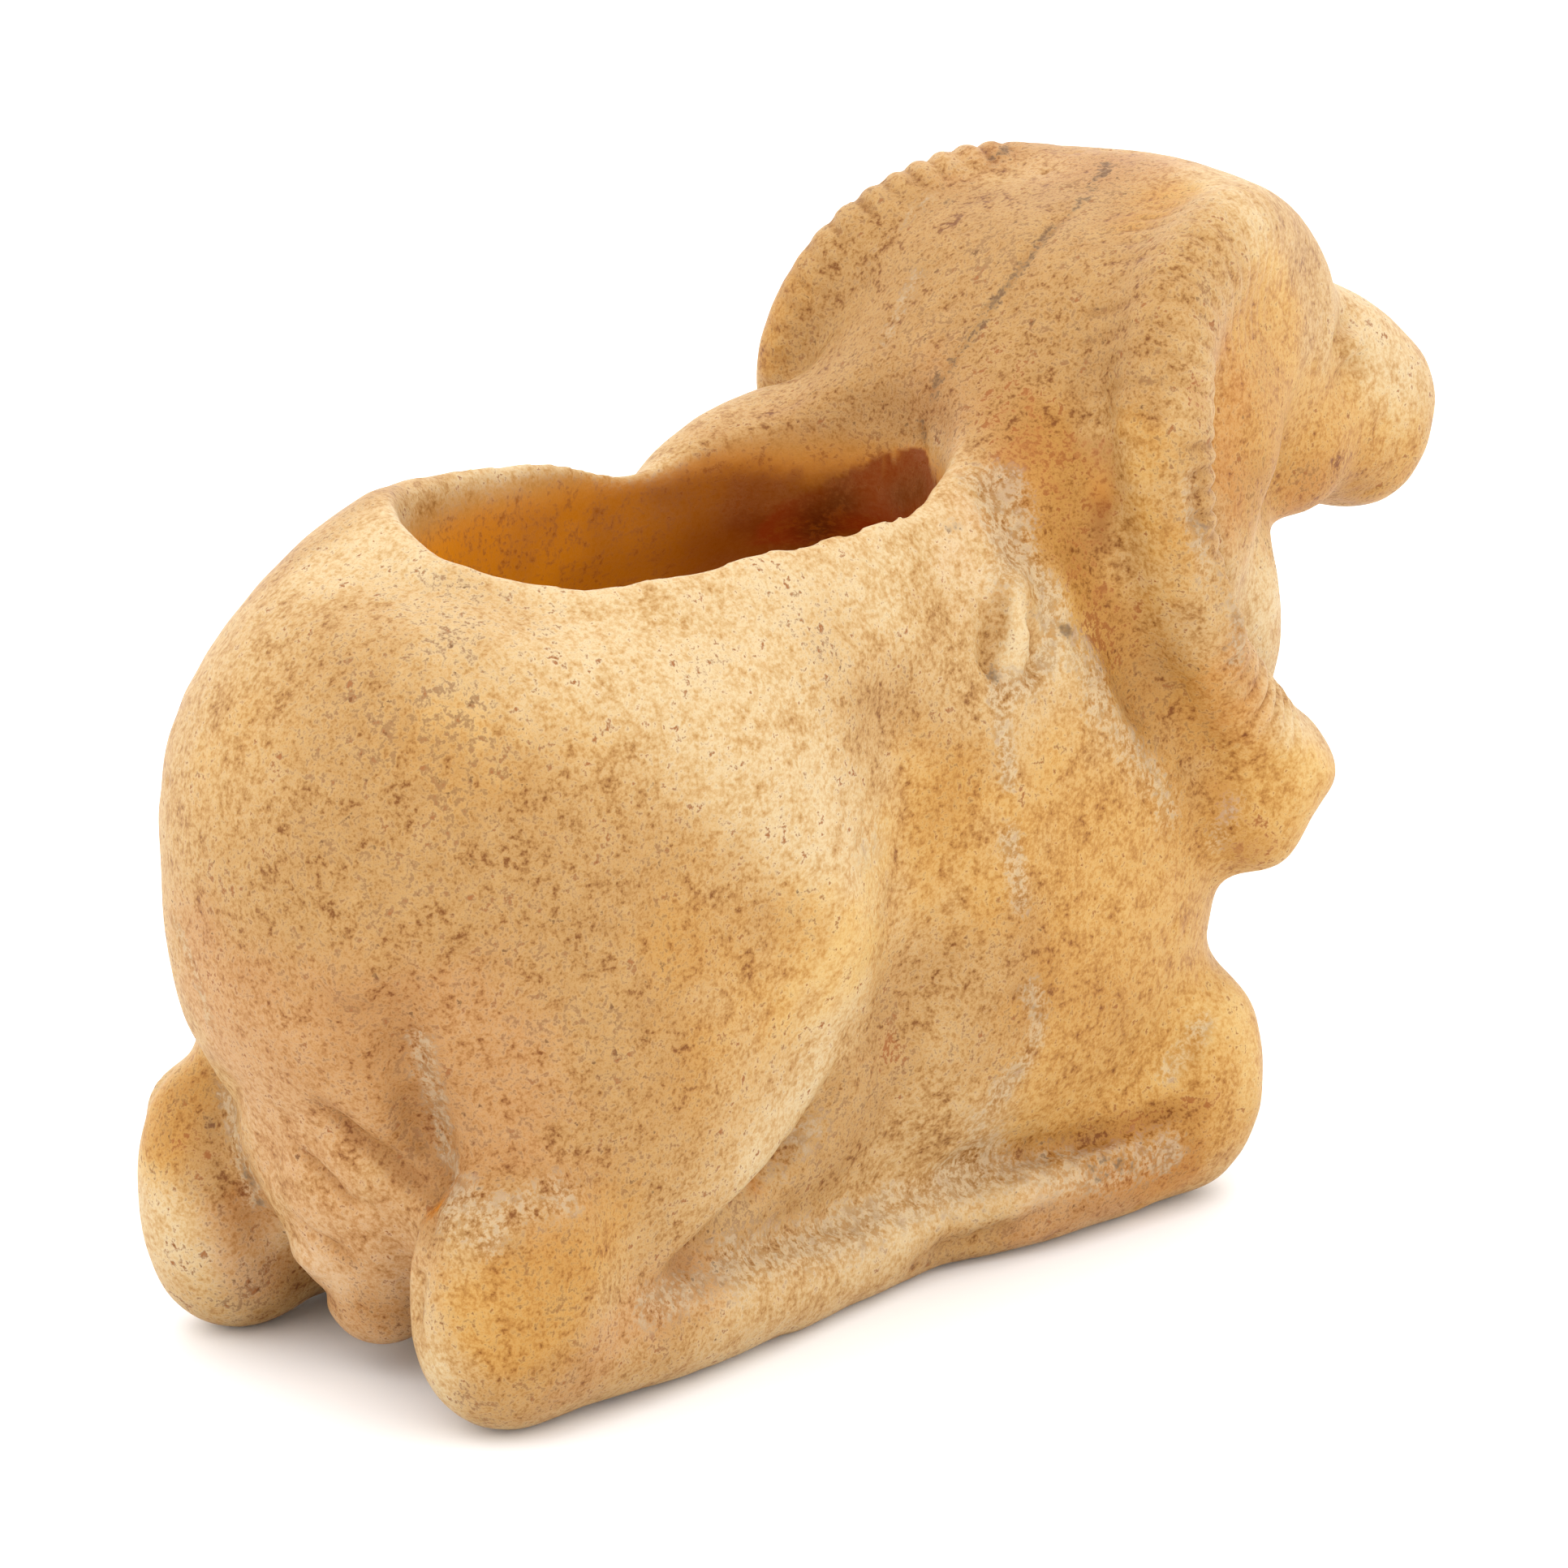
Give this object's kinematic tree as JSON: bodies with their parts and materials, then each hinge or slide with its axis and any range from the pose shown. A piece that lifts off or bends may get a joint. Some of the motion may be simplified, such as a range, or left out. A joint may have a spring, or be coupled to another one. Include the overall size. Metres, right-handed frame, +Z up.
{
  "type": "ibex-shaped alabaster vessel",
  "caption": "Small open stone vessel carved as a recumbent ibex with long ringed horns and folded legs, hollowed from its back to hold a cosmetic or ointment.",
  "frame": {"origin": "on the resting plane, below the centre of the bounding box", "axes": "+X towards the muzzle, +Y towards the animal's left side, +Z up"},
  "size_m": [0.1038, 0.0379, 0.0658],
  "materials": {
    "alabaster": "waxy, worn polish with grain and dark deposits in the cuts"
  },
  "bodies": {
    "root": {"ibex_vessel": "alabaster"}
  },
  "joints": []
}
